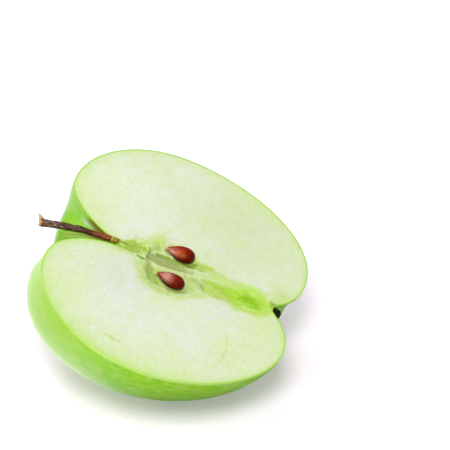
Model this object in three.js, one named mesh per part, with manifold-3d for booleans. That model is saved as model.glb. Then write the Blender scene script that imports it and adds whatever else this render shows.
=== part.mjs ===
// Half an apple, cut from stem to calyx and lying on its round back. Millimetres, +Z up.
//
// The pieces are made in the fruit's own frame: X runs along the core from the stem to the
// calyx, Y goes across the cut face towards its upper edge, and Z stands out of the face.
// One group then leans them the way the half lies. The origin is the middle of the small
// flat spot that it rests on.
import * as THREE from 'three';
import { mergeVertices } from 'three/addons/utils/BufferGeometryUtils.js';
import Module from 'manifold-3d';

const wasm = await Module();
wasm.setup();

// How the half lies: the calyx end is low, and the face leans a little to the front.
const lie = { pitch: 22, roll: 9.5, restDepth: 1.6 };

// The outline from core to core: well, shoulder, girth, heel and basin. X along, R outwards.
// The well's and basin's curves have handles, given as shares of the way from floor to rim,
// and a pull says how square the fruit is between shoulder and girth, and girth and heel.
const core = { wellFloorX: -14.6, wellFloorR: 1.05, basinFloorX: 31, basinFloorR: 1 };
const plainLobe = {
  shoulderX: -29.6, shoulderR: 14.8, girthX: -0.9, girthR: 38, heelX: 35.2, heelR: 11.4,
  wellX: 0.46, wellR: 0.06, wellRim: 0.6, basinX: 0.4, basinR: 0.2, basinRim: 0.6,
  shoulderPull: 0.55, heelPull: 0.55,
};
const lobes = [ // every 45 degrees round the back, from the face's upper edge to its lower one
  {
    shoulderX: -30.7, shoulderR: 14.6, girthX: -1.3, girthR: 37.9, heelX: 37.9, heelR: 13.3,
    wellX: 0.45, wellR: 0.1, wellRim: 0.62, basinX: 0.44, basinR: 0.16, basinRim: 0.44,
    shoulderPull: 0.54, heelPull: 0.56,
  },
  plainLobe,
  { ...plainLobe, shoulderX: -28.8, shoulderR: 14.4, heelX: 34.3, heelR: 13.1 },
  {
    ...plainLobe,
    shoulderX: -32.8, shoulderR: 15.4, girthX: -2.8, girthR: 36.5, heelR: 11.9,
    shoulderPull: 0.588, heelPull: 0.498,
  },
  {
    shoulderX: -32, shoulderR: 14.6, girthX: 0, girthR: 38.2, heelX: 36.9, heelR: 12.1,
    wellX: 0.35, wellR: -0.03, wellRim: 0.27, basinX: 0.42, basinR: 0.2, basinRim: 0.49,
    shoulderPull: 0.544, heelPull: 0.471,
  },
];
const backSteps = 40;
const outlineSteps = { well: 10, shoulder: 14, heel: 14, basin: 8 };

// The hollows of the core, as ellipsoids sunk in the face: half sizes along X, Y and Z.
const hollows = [
  { at: [0.5, 0.2, 0], half: [5.6, 1.7, 2.4], turn: -2 }, // the middle of the core
  { at: [3.2, 5.4, 0], half: [7.4, 3.3, 1.7], turn: 3 }, // the upper seed's chamber
  { at: [1.6, -5.2, 0], half: [7.2, 3.3, 1.8], turn: -6 }, // the lower seed's chamber
];

const seed = { length: 8.3, width: 4.9, thickness: 3.5, along: 16, round: 20 };
const seeds = [
  { name: 'seed_upper', middle: [2.5, 4.9, 0.5], turn: 2 },
  { name: 'seed_lower', middle: [2.0, -4.95, 0.5], turn: -3 },
];

const stem = {
  route: [
    [-14.3, 0.35, 0.25], [-17, 0.5, 0.1], [-20, 0.35, -0.15], [-25, -0.15, -0.4],
    [-30, -1.3, -0.6], [-33.5, -2.15, -0.85], [-35.7, -2.65, -1],
  ],
  baseR: 0.92, middleR: 0.9, endR: 1, ridges: 3, ridgeDepth: 0.06, splinter: 1.7,
  along: 30, round: 14,
};

const calyx = {
  at: [31.6, 0.2, -1.3], tubeR: 1.25, tubeLength: 1.9, tubeTaper: 1.25,
  sepals: [-150, -95, -40, 15, 80], // angles round the core, 0 is +Y and 90 is +Z
  sepalLength: 2.6, sepalWidth: 1.5, sepalThickness: 0.5, sepalLean: 24, sepalCurl: 30,
};

const gap = 0.32; // left between neighbouring pieces

const radians = THREE.MathUtils.degToRad;
const point = (xyz) => new THREE.Vector3(...xyz);

// ---- closed meshes and cuts

// Joins equal corners and leaves out the faces that shrink to nothing at a pole.
function closed(geometry) {
  const bare = geometry.clone();
  bare.deleteAttribute('normal');
  bare.deleteAttribute('uv');
  const merged = mergeVertices(bare, 1e-4);
  const index = merged.index.array;
  const kept = [];
  for (let i = 0; i < index.length; i += 3) {
    const [a, b, c] = [index[i], index[i + 1], index[i + 2]];
    if (a !== b && b !== c && c !== a) kept.push(a, b, c);
  }
  merged.setIndex(kept);
  return merged;
}

function solidOf(geometry) {
  const merged = closed(geometry);
  return new wasm.Manifold(new wasm.Mesh({
    numProp: 3,
    vertProperties: new Float32Array(merged.attributes.position.array),
    triVerts: new Uint32Array(merged.index.array),
  }));
}

function geometryOf(solid) {
  const mesh = solid.getMesh();
  const geometry = new THREE.BufferGeometry();
  geometry.setAttribute('position', new THREE.Float32BufferAttribute(mesh.vertProperties, 3));
  geometry.setIndex(Array.from(mesh.triVerts));
  return geometry;
}

function geometryFrom(points, triangles) {
  const geometry = new THREE.BufferGeometry().setFromPoints(points);
  geometry.setIndex(triangles);
  return geometry;
}

// A closed skin over rings of points, with a fan over each end.
function loft(rings) {
  const round = rings[0].length;
  const points = rings.flat();
  const triangles = [];
  for (let ring = 0; ring < rings.length - 1; ring += 1) {
    for (let k = 0; k < round; k += 1) {
      const next = (k + 1) % round;
      const [a, b] = [ring * round + k, ring * round + next];
      triangles.push(a, b, b + round, a, b + round, a + round);
    }
  }
  [[0, true], [rings.length - 1, false]].forEach(([ring, first]) => {
    const middle = new THREE.Vector3();
    rings[ring].forEach((corner) => middle.addScaledVector(corner, 1 / round));
    const hub = points.push(middle) - 1;
    for (let k = 0; k < round; k += 1) {
      const [a, b] = [ring * round + k, ring * round + ((k + 1) % round)];
      triangles.push(...(first ? [hub, b, a] : [hub, a, b]));
    }
  });
  return geometryFrom(points, triangles);
}

// ---- the half itself

// The sizes of the outline at an angle round the back, eased from lobe to lobe.
function lobeAt(angle) {
  const place = (angle / Math.PI) * (lobes.length - 1);
  const first = Math.min(Math.floor(place), lobes.length - 2);
  const ease = (1 - Math.cos(Math.PI * (place - first))) / 2;
  const mixed = {};
  Object.keys(plainLobe).forEach((key) => {
    mixed[key] = THREE.MathUtils.lerp(lobes[first][key], lobes[first + 1][key], ease);
  });
  return mixed;
}

// A quarter of a rounded outline as one cubic. A pull of 0.5523 makes it an ellipse's.
function quarter(from, to, corner, pull) {
  const start = from.clone().lerp(corner, pull);
  const end = to.clone().lerp(corner, pull);
  return new THREE.CubicBezierCurve(from, start, end, to);
}

// The curve of a well in the outline, from its floor at the core to its rim.
function wellTo(rim, floor, floorX, floorR, rimR) {
  const { lerp } = THREE.MathUtils;
  const low = new THREE.Vector2(lerp(floor.x, rim.x, floorX), lerp(floor.y, rim.y, floorR));
  const high = new THREE.Vector2(rim.x, rim.y * rimR);
  return new THREE.CubicBezierCurve(floor, low, high, rim);
}

function outline(lobe) {
  const wellFloor = new THREE.Vector2(core.wellFloorX, core.wellFloorR);
  const shoulder = new THREE.Vector2(lobe.shoulderX, lobe.shoulderR);
  const girth = new THREE.Vector2(lobe.girthX, lobe.girthR);
  const heel = new THREE.Vector2(lobe.heelX, lobe.heelR);
  const basinFloor = new THREE.Vector2(core.basinFloorX, core.basinFloorR);
  const upperCorner = new THREE.Vector2(lobe.shoulderX, lobe.girthR);
  const lowerCorner = new THREE.Vector2(lobe.heelX, lobe.girthR);
  const well = wellTo(shoulder, wellFloor, lobe.wellX, lobe.wellR, lobe.wellRim);
  const above = quarter(shoulder, girth, upperCorner, lobe.shoulderPull);
  const below = quarter(girth, heel, lowerCorner, lobe.heelPull);
  const basin = wellTo(heel, basinFloor, lobe.basinX, lobe.basinR, lobe.basinRim);
  return [
    new THREE.Vector2(core.wellFloorX, 0),
    ...well.getPoints(outlineSteps.well),
    ...above.getPoints(outlineSteps.shoulder).slice(1),
    ...below.getPoints(outlineSteps.heel).slice(1),
    ...basin.getPoints(outlineSteps.basin).reverse().slice(1),
    new THREE.Vector2(core.basinFloorX, 0),
  ];
}

// The skin is swept through half a turn under the face, and the flat face closes it.
function halfFruit() {
  const points = [];
  const triangles = [];
  let count = 0;
  for (let step = 0; step <= backSteps; step += 1) {
    const angle = (Math.PI * step) / backSteps;
    const ring = outline(lobeAt(angle));
    count = ring.length;
    ring.forEach(({ x, y }) => {
      points.push(new THREE.Vector3(x, y * Math.cos(angle), -y * Math.sin(angle)));
    });
  }
  for (let step = 0; step < backSteps; step += 1) {
    for (let i = 0; i < count - 1; i += 1) {
      const a = step * count + i;
      triangles.push(a, a + 1, a + 1 + count, a, a + 1 + count, a + count);
    }
  }
  const upper = [...Array(count).keys()];
  const lower = upper.slice(1, -1).reverse().map((i) => backSteps * count + i);
  const edge = [...upper, ...lower];
  const flat = edge.map((i) => new THREE.Vector2(points[i].x, points[i].y));
  THREE.ShapeUtils.triangulateShape(flat, []).forEach(([a, b, c]) => {
    const turn = flat[b].clone().sub(flat[a]).cross(flat[c].clone().sub(flat[a]));
    triangles.push(...(turn > 0 ? [edge[a], edge[b], edge[c]] : [edge[a], edge[c], edge[b]]));
  });
  return geometryFrom(points, triangles);
}

function hollow({ at, half, turn }) {
  const shape = new THREE.SphereGeometry(1, 28, 18);
  shape.scale(...half);
  shape.rotateZ(radians(turn));
  shape.translate(...at);
  return shape;
}

// ---- the loose pieces

// A teardrop turned about its length and flattened, with its point towards the stem.
// Grow makes the pocket for it.
function seedGeometry({ middle, turn }, grow = 0) {
  const widest = 0.77; // the height of sin(t) * sin(t / 2) at its widest
  const profile = [];
  for (let i = 0; i <= seed.along; i += 1) {
    const t = (Math.PI * i) / seed.along;
    const r = (Math.sin(t) * Math.sin(t / 2)) / widest;
    const along = -(seed.length / 2 + grow) * Math.cos(t);
    profile.push(new THREE.Vector2((seed.width / 2 + grow) * Math.max(r, 0), along));
  }
  profile[0].x = 0;
  profile[seed.along].x = 0;
  const shape = new THREE.LatheGeometry(profile, seed.round);
  shape.rotateZ(-Math.PI / 2);
  shape.scale(1, 1, (seed.thickness / 2 + grow) / (seed.width / 2 + grow));
  shape.rotateZ(radians(turn));
  shape.translate(...middle);
  return shape;
}

// A ridged stalk that widens to its broken end, where one side is drawn out to a splinter.
function stemGeometry(grow = 0) {
  const route = new THREE.CatmullRomCurve3(stem.route.map(point));
  const rings = [];
  for (let i = 0; i <= stem.along; i += 1) {
    const t = i / stem.along;
    const middle = route.getPointAt(t);
    const along = route.getTangentAt(t);
    const side = new THREE.Vector3(0, 0, 1).cross(along).normalize();
    const out = along.clone().cross(side);
    const end = THREE.MathUtils.smoothstep(t, 0.82, 1);
    const base = 1 - THREE.MathUtils.smoothstep(t, 0, 0.25);
    const taper = (stem.baseR - stem.middleR) * base + (stem.endR - stem.middleR) * end;
    const radius = stem.middleR + taper + grow;
    const ring = [];
    for (let k = 0; k < stem.round; k += 1) {
      const angle = (2 * Math.PI * k) / stem.round;
      const ridge = 1 + stem.ridgeDepth * Math.cos(stem.ridges * angle + 2 * t);
      const drawn = stem.splinter * Math.max(0, -Math.cos(angle)) ** 3 * end ** 3;
      ring.push(middle.clone()
        .addScaledVector(side, radius * ridge * Math.cos(angle) - drawn * 0.8)
        .addScaledVector(out, radius * ridge * Math.sin(angle))
        .addScaledVector(along, drawn * 0.6));
    }
    rings.push(ring);
  }
  return loft(rings);
}

// One dried sepal: a thin tapering blade that leans outwards and curls at its tip.
function sepalGeometry(angle) {
  const steps = 5;
  const corners = 8;
  const outwards = new THREE.Vector3(0, Math.cos(radians(angle)), Math.sin(radians(angle)));
  const across = outwards.clone().cross(new THREE.Vector3(1, 0, 0));
  const spine = new THREE.Vector3().addScaledVector(outwards, calyx.tubeR * 0.62);
  spine.x = calyx.tubeLength * 0.45;
  const rings = [];
  for (let i = 0; i <= steps; i += 1) {
    const t = i / steps;
    const lean = radians(calyx.sepalLean + calyx.sepalCurl * t);
    const along = new THREE.Vector3(Math.cos(lean), 0, 0).addScaledVector(outwards, Math.sin(lean));
    const thin = new THREE.Vector3(-Math.sin(lean), 0, 0).addScaledVector(outwards, Math.cos(lean));
    const width = (calyx.sepalWidth / 2) * (1 - 0.8 * t * t);
    const thickness = (calyx.sepalThickness / 2) * (1 - 0.5 * t);
    const ring = [];
    for (let k = 0; k < corners; k += 1) {
      const turn = (2 * Math.PI * k) / corners;
      ring.push(spine.clone()
        .addScaledVector(across, width * Math.cos(turn))
        .addScaledVector(thin, thickness * Math.sin(turn)));
    }
    rings.push(ring);
    spine.addScaledVector(along, calyx.sepalLength / steps);
  }
  return loft(rings);
}

function tubeGeometry(grow = 0) {
  const shape = new THREE.CylinderGeometry(
    calyx.tubeR + grow, // the wide mouth, towards +X
    calyx.tubeR / calyx.tubeTaper + grow,
    calyx.tubeLength + 2 * grow,
    14,
  );
  shape.rotateZ(-Math.PI / 2);
  return shape;
}

function calyxSolid() {
  let solid = solidOf(tubeGeometry());
  calyx.sepals.forEach((angle) => {
    solid = solid.add(solidOf(sepalGeometry(angle)));
  });
  return solid.translate(calyx.at);
}

// ---- the pieces put together

const half = new THREE.Group();
half.rotation.set(radians(lie.roll), radians(lie.pitch), 0, 'YXZ');
half.updateMatrixWorld();

// The flat spot: what lies lowest is cut off level, and its middle becomes the origin.
const whole = halfFruit();
const standing = whole.clone().applyMatrix4(half.matrixWorld);
standing.computeBoundingBox();
const floor = standing.boundingBox.min.z + lie.restDepth;
const spot = new THREE.Vector3();
let lowCorners = 0;
for (let i = 0; i < standing.attributes.position.count; i += 1) {
  const corner = new THREE.Vector3().fromBufferAttribute(standing.attributes.position, i);
  if (corner.z < floor) {
    spot.add(corner);
    lowCorners += 1;
  }
}
spot.divideScalar(lowCorners);
half.position.set(-spot.x, -spot.y, -floor);
half.updateMatrixWorld();

const ground = new THREE.BoxGeometry(200, 200, 40).translate(0, 0, -20);
ground.applyMatrix4(half.matrixWorld.clone().invert());

let flesh = solidOf(whole).subtract(solidOf(ground));
hollows.forEach((one) => {
  flesh = flesh.subtract(solidOf(hollow(one)));
});
seeds.forEach((one) => {
  flesh = flesh.subtract(solidOf(seedGeometry(one, gap)));
});
flesh = flesh.subtract(solidOf(stemGeometry(gap)));
flesh = flesh.subtract(solidOf(tubeGeometry(gap)).translate(calyx.at));

function piece(name, geometry, color, roughness) {
  const material = new THREE.MeshStandardMaterial({ color, roughness, metalness: 0 });
  const mesh = new THREE.Mesh(geometry, material);
  mesh.name = name;
  half.add(mesh);
}

piece('apple_half', geometryOf(flesh), '#e4efcb', 0.45);
piece('stem', closed(stemGeometry()), '#5b3a2c', 0.85);
seeds.forEach((one) => piece(one.name, closed(seedGeometry(one)), '#6e1f10', 0.25));
piece('calyx', geometryOf(calyxSolid()), '#2a1d14', 0.9);

export default half;
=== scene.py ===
import math
import bpy
import numpy as np
from mathutils import Matrix, Vector
from mathutils.geometry import delaunay_2d_cdt


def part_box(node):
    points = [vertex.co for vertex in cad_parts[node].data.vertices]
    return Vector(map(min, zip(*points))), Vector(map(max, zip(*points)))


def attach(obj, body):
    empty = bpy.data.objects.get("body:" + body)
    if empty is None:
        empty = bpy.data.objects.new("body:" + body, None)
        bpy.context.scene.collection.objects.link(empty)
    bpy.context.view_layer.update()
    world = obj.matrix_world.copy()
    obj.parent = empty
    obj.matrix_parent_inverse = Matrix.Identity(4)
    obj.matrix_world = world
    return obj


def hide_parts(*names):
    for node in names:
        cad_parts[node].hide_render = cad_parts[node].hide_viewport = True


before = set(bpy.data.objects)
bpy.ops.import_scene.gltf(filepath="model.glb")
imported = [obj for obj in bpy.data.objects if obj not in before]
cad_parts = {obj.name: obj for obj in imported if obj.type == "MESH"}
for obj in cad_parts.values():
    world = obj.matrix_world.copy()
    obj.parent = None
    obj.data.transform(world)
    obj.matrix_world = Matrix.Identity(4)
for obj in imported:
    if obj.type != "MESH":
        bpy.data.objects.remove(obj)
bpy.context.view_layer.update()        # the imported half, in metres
print("frame loaded:", ", ".join(sorted(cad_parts)))

# Everything is drawn in millimetres in the fruit's own frame: X along the core from the stem
# to the calyx, Y across the cut face towards its upper edge, Z out of the face.
millimetre = 0.001
lie = {"pitch": 22.0, "roll": 9.5}      # how the half leans, in degrees
pitchTurn = Matrix.Rotation(math.radians(lie["pitch"]), 3, "Y")
rollTurn = Matrix.Rotation(math.radians(lie["roll"]), 3, "X")
leanTurn = np.array(pitchTurn @ rollTurn)


# Small tools for shapes. What is added to a grain's x and y, and the number of its draw, only pick
# another stretch of it.

def smooth(low, high, x):       # eases from 0 to 1 between low and high
    t = np.clip((x - low) / (high - low), 0, 1)
    return t * t * (3 - 2 * t)


def mix(a, b, t):
    return a + (b - a) * t


def unit(v):
    return v / np.linalg.norm(v, axis=-1, keepdims=True)


def grain(x, y, draw):      # a smooth random field from -1 to 1, one unit to a cell
    table = np.random.default_rng(draw).uniform(-1, 1, (256, 256))
    ix = np.floor(x).astype(int)
    iy = np.floor(y).astype(int)
    fx = smooth(0, 1, x - ix)
    fy = smooth(0, 1, y - iy)
    low = mix(table[ix % 256, iy % 256], table[(ix + 1) % 256, iy % 256], fx)
    high = mix(table[ix % 256, (iy + 1) % 256], table[(ix + 1) % 256, (iy + 1) % 256], fx)
    return mix(low, high, fy)


def layeredGrain(x, y, draw):       # three layers, each twice as fine and half as strong
    total = 0
    for k in range(3):
        total = total + grain(x * 2 ** k, y * 2 ** k, draw + k) / 2 ** k
    return total / 1.5


def cubic(p0, p1, p2, p3, count):       # points of a cubic curve, first one left out
    t = np.linspace(0, 1, count + 1)[1:, None]
    p0, p1, p2, p3 = [np.array(p, float) for p in (p0, p1, p2, p3)]
    return (1 - t) ** 3 * p0 + 3 * (1 - t) ** 2 * t * p1 + 3 * (1 - t) * t * t * p2 + t ** 3 * p3


def linear(red, green, blue):       # a screen colour from 0 to 255, as Blender's own values
    values = np.array((red, green, blue)) / 255
    return tuple(np.where(values <= 0.04045, values / 12.92, ((values + 0.055) / 1.055) ** 2.4))


def tubeFaces(rings, count, start=0):       # faces round a tube whose points come ring by ring
    faces = []
    for k in range(count):
        after = (k + 1) % count
        for ring in range(rings - 1):
            a, b = start + ring * count + k, start + ring * count + after
            faces.append((a, b, b + count, a + count))
    return faces


def ringMesh(rings, ends):      # rings of points, closed at each end by a fan to a point
    count = len(rings[0])
    total = len(rings) * count
    faces = tubeFaces(len(rings), count)
    for k in range(count):
        after = (k + 1) % count
        faces.append((total, after, k))
        faces.append((total + 1, total - count + k, total - count + after))
    return np.vstack([*rings, ends]), faces


def addObject(name, data):
    thing = bpy.data.objects.new(name, data)
    bpy.context.scene.collection.objects.link(thing)
    return thing


def paintPoints(mesh, name, values):        # a number, a place or a colour with alpha for each point
    values = np.asarray(values, float)
    width = 1 if values.ndim == 1 else values.shape[1]
    kinds = {1: ("FLOAT", "value"), 3: ("FLOAT_VECTOR", "vector"), 4: ("FLOAT_COLOR", "color")}
    kind, field = kinds[width]
    layer = mesh.attributes.new(name, kind, "POINT")
    layer.data.foreach_set(field, values.ravel())


def makePiece(name, points, faces, material, node, layers):
    mesh = bpy.data.meshes.new(name)
    mesh.from_pydata(rowPoints(points).tolist(), [], faces)
    mesh.materials.append(material)
    mesh.polygons.foreach_set("use_smooth", [True] * len(faces))
    for layer, values in layers.items():
        paintPoints(mesh, layer, values)
    piece = addObject(name, mesh)
    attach(piece, "root")
    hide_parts(node)
    return piece


class Shader:       # a material's nodes, added one by one and joined as they come
    def __init__(self, name):
        self.material = bpy.data.materials.new(name)
        self.material.use_nodes = True
        self.tree = self.material.node_tree
        self.surface = self.tree.nodes["Principled BSDF"]

    def add(self, kind, inputs=None, **settings):
        node = self.tree.nodes.new("ShaderNode" + kind)
        for key, value in settings.items():
            setattr(node, key, value)
        for key, value in (inputs or {}).items():
            self.put(node.inputs[key], value)
        return node

    def put(self, socket, value):
        if isinstance(value, bpy.types.NodeSocket):
            self.tree.links.new(value, socket)
        else:
            socket.default_value = value

    def painted(self, name, output="Fac"):
        return self.add("Attribute", attribute_name=name).outputs[output]

    def noise(self, place, scale, detail, roughness, stretch=None):
        if stretch:
            mapping = self.add("Mapping", {"Vector": place, "Scale": stretch})
            place = mapping.outputs[0]
        inputs = {"Vector": place, "Scale": scale, "Detail": detail, "Roughness": roughness}
        return self.add("TexNoise", inputs).outputs[0]

    def remap(self, value, low, high, toLow, toHigh):      # eases from toLow to toHigh
        inputs = {0: value, 1: low, 2: high, 3: toLow, 4: toHigh}
        return self.add("MapRange", inputs, interpolation_type="SMOOTHSTEP").outputs[0]

    def rise(self, value, low, high, top=1):
        return self.remap(value, low, high, 0, top)

    def fall(self, value, low, high, top=1):
        return self.remap(value, low, high, top, 0)

    def maths(self, operation, a, b):
        return self.add("Math", {0: a, 1: b}, operation=operation).outputs[0]

    def times(self, a, b):
        return self.maths("MULTIPLY", a, b)

    def parts(self, place):
        return self.add("SeparateXYZ", {0: place}).outputs

    def blend(self, amount, a, b, kind="MIX"):
        inputs = {}
        for key, value in ((6, a), (7, b)):
            inputs[key] = (*value, 1) if isinstance(value, tuple) else value
        inputs[0] = amount
        return self.add("Mix", inputs, data_type="RGBA", blend_type=kind).outputs[2]

    def coats(self, paints, *layers):       # colours, by name or socket, each laid on by its amount
        color = None
        for paint, amount in layers:
            if isinstance(paint, str):
                paint = linear(*paints[paint])
            color = paint if color is None else self.blend(amount, color, paint)
        return color

    def bump(self, height, strength, distance, normal=None):
        inputs = {"Height": height, "Strength": strength, "Distance": distance}
        if normal:
            inputs["Normal"] = normal
        return self.add("Bump", inputs).outputs[0]

    def finish(self, **sockets):
        names = {"color": "Base Color", "roughness": "Roughness", "normal": "Normal",
                 "subsurface": "Subsurface Weight", "radius": "Subsurface Radius",
                 "scatter": "Subsurface Scale", "specular": "Specular IOR Level",
                 "glowColor": "Emission Color", "glow": "Emission Strength"}
        for key, value in sockets.items():
            self.put(self.surface.inputs[names[key]], value)
        return self.material


half = {
    "wellFloor": (-14.6, 0.7),          # X and radius where the stem grows
    "basinFloor": (31.0, 1.0),          # and where the calyx sits
    "rows": (4, 44, 62, 58, 34, 3),     # floor, well, shoulder, heel, basin, floor
    "turns": 150,                       # steps round the back
    "coreZone": ((-15, -10.8), (32, 10.2)),
    "fineStep": 0.21,                   # between the face's points there
    "wideStep": 0.46,                   # and over the rest of it
    "edgeRows": (0.12, 0.3, 0.6),       # rows of points that follow the skin
    "edgeGap": 0.15,                    # from the last of them to the other points
    "edgeCrowding": 0.93,               # a row's point this near the skin, as a share, is left out
    "jitter": 0.2,                      # how far points stray, in steps
    "middle": (2.5, 0, 0),              # the skin swells away from here
    "unevenness": 0.2,                  # by this much, in waves so long and so many to a radian
    "waveLength": 13, "waveTurns": 2.2,
    "waveFade": (4, 14),                # the way from the core over which the waves set in
    "girthR": 37,                       # where ways round the skin are measured
    "sharpAngle": 50,
}
# Each lobe's outline: shoulder, girth and heel as X and radius, the handles of its well and
# basin as shares of the way from floor to rim, and how square it is above and below the girth.
plainLobe = {
    "shoulder": (-29.6, 14.8), "girth": (-0.9, 38.0), "heel": (35.2, 11.4),
    "well": (0.46, 0.06, 0.6), "basin": (0.4, 0.2, 0.6), "square": (0.55, 0.55),
}
lobes = [       # every 45 degrees round the back, from the face's upper edge to its lower one
    {"shoulder": (-30.7, 14.6), "girth": (-1.3, 37.9), "heel": (37.9, 13.3),
     "well": (0.45, 0.1, 0.62), "basin": (0.44, 0.16, 0.44), "square": (0.54, 0.56)},
    plainLobe,
    {**plainLobe, "shoulder": (-28.8, 14.4), "heel": (34.3, 13.1)},
    {**plainLobe, "shoulder": (-32.8, 15.4), "girth": (-2.8, 36.5), "heel": (35.2, 11.9),
     "square": (0.588, 0.498)},
    {"shoulder": (-32.0, 14.6), "girth": (0.0, 38.2), "heel": (36.9, 12.1),
     "well": (0.35, 0.02, 0.3), "basin": (0.42, 0.2, 0.49), "square": (0.544, 0.471)},
]


def lobeAt(angle):
    place = angle / math.pi * (len(lobes) - 1)
    first = min(int(place), len(lobes) - 2)
    ease = (1 - math.cos(math.pi * (place - first))) / 2
    mixed = {}
    for key in plainLobe:
        mixed[key] = mix(np.array(lobes[first][key]), np.array(lobes[first + 1][key]), ease)
    return mixed


def quarter(start, end, corner, square, count):
    return cubic(start, mix(start, corner, square), mix(end, corner, square), end, count)


def wellFrom(floor, rim, curve, count):
    first = (mix(floor[0], rim[0], curve[0]), mix(floor[1], rim[1], curve[1]))
    return cubic(floor, first, (rim[0], rim[1] * curve[2]), rim, count)


def outlineAt(angle):       # X and radius from the stem's floor round to the calyx's floor
    lobe = lobeAt(angle)
    shoulder, girth, heel = lobe["shoulder"], lobe["girth"], lobe["heel"]
    wellFloor = np.array(half["wellFloor"])
    basinFloor = np.array(half["basinFloor"])
    rows = half["rows"]
    wellPole = wellFloor * (1, 0)
    basinPole = basinFloor * (1, 0)
    steps = [
        wellPole[None],
        mix(wellPole, wellFloor, np.linspace(0, 1, rows[0] + 1)[1:, None]),
        wellFrom(wellFloor, shoulder, lobe["well"], rows[1]),
        quarter(shoulder, girth, np.array((shoulder[0], girth[1])), lobe["square"][0], rows[2]),
        quarter(girth, heel, np.array((heel[0], girth[1])), lobe["square"][1], rows[3]),
        np.vstack([wellFrom(basinFloor, heel, lobe["basin"], rows[4])[-2::-1], basinFloor[None]]),
        mix(basinFloor, basinPole, np.linspace(0, 1, rows[5] + 1)[1:, None]),
    ]
    return np.vstack(steps)


def buildSkin():        # points [turn, row], each row a half circle under the face
    angles = np.linspace(0, math.pi, half["turns"] + 1)
    grid = []
    for angle in angles:
        line = outlineAt(angle)
        across, down = line[:, 1] * math.cos(angle), line[:, 1] * math.sin(angle)
        grid.append(np.column_stack([line[:, 0], across, -down]))
    grid = np.array(grid)
    outwards = unit(grid - np.array(half["middle"]))
    wave = grain(grid[..., 0] / half["waveLength"] + 40, angles[:, None] * half["waveTurns"] + 7, 11)
    fade = smooth(*half["waveFade"], np.hypot(grid[..., 1], grid[..., 2]))
    return grid + outwards * (wave * fade * half["unevenness"])[..., None], angles


def insideRim(points, rim):     # which points lie inside the closed outline of the face
    x, y = points[:, 0], points[:, 1]
    inside = np.zeros(len(points), bool)
    for (x0, y0), (x1, y1) in zip(rim, np.roll(rim, -1, axis=0)):
        if y0 != y1:
            inside ^= ((y0 > y) != (y1 > y)) & (x < (x1 - x0) * (y - y0) / (y1 - y0) + x0)
    return inside


def awayFromRim(points, rim):       # the shortest way from each point to the skin
    nearest = np.full(len(points), 1e9)
    for start, end in zip(rim, np.roll(rim, -1, axis=0)):
        side = end - start
        t = np.clip((points - start) @ side / max(side @ side, 1e-9), 0, 1)
        nearest = np.minimum(nearest, np.hypot(*(points - start - t[:, None] * side).T))
    return nearest


def hexGrid(low, high, step):       # rows of points, each row half a step over
    rows = []
    rowStep = step * 0.866              # as high as an equal-sided triangle
    for k, y in enumerate(np.arange(low[1], high[1], rowStep)):
        x = np.arange(low[0] + (k % 2) * step / 2, high[0], step)
        rows.append(np.column_stack([x, np.full(len(x), y)]))
    return np.vstack(rows)


def buildFace(rim):     # a sheet of triangles inside the rim, fine near the core
    low, high = rim.min(axis=0), rim.max(axis=0)
    coreLow, coreHigh = np.array(half["coreZone"])
    wide = hexGrid(low, high, half["wideStep"])
    wide = wide[~np.all((wide > coreLow) & (wide < coreHigh), axis=1)]
    fine = hexGrid(coreLow, coreHigh, half["fineStep"])
    chance = np.random.default_rng(9)
    strayed = []
    for grid, step in ((fine, half["fineStep"]), (wide, half["wideStep"])):
        strayed.append(grid + chance.uniform(-half["jitter"], half["jitter"], grid.shape) * step)
    points = np.vstack(strayed)
    points = points[insideRim(points, rim)]
    points = points[awayFromRim(points, rim) > half["edgeRows"][-1] + half["edgeGap"]]
    along = np.roll(rim, -1, axis=0) - np.roll(rim, 1, axis=0)
    inwards = unit(np.column_stack([along[:, 1], -along[:, 0]]))
    for offset in half["edgeRows"]:
        row = rim + inwards * offset
        row = row[insideRim(row, rim)]
        points = np.vstack([points, row[awayFromRim(row, rim) > offset * half["edgeCrowding"]]])
    flat = np.vstack([rim, points])
    edges = [(k, (k + 1) % len(rim)) for k in range(len(rim))]
    result = delaunay_2d_cdt([Vector(p) for p in flat], edges, [], 1, 1e-6)
    origin = [first[0] for first in result[3]]
    triangles = [tuple(origin[corner] for corner in face) for face in result[2]]
    return points, triangles


# The cut face is painted with strokes of colour and relief over the core, one after another. Each
# has its path, as X, Y and half width, then its colour and strength, the width of its edge and how
# far the edge wanders. lift adds to the height and depth replaces it, and fibre and streaks, a share
# and a colour, run along X. A stroke's place in the order is also its random draw.

def brush(path, color, strength, soft, ragged, **more):
    return {"path": path, "color": color, "strength": strength, "soft": soft, "ragged": ragged, **more}


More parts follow.
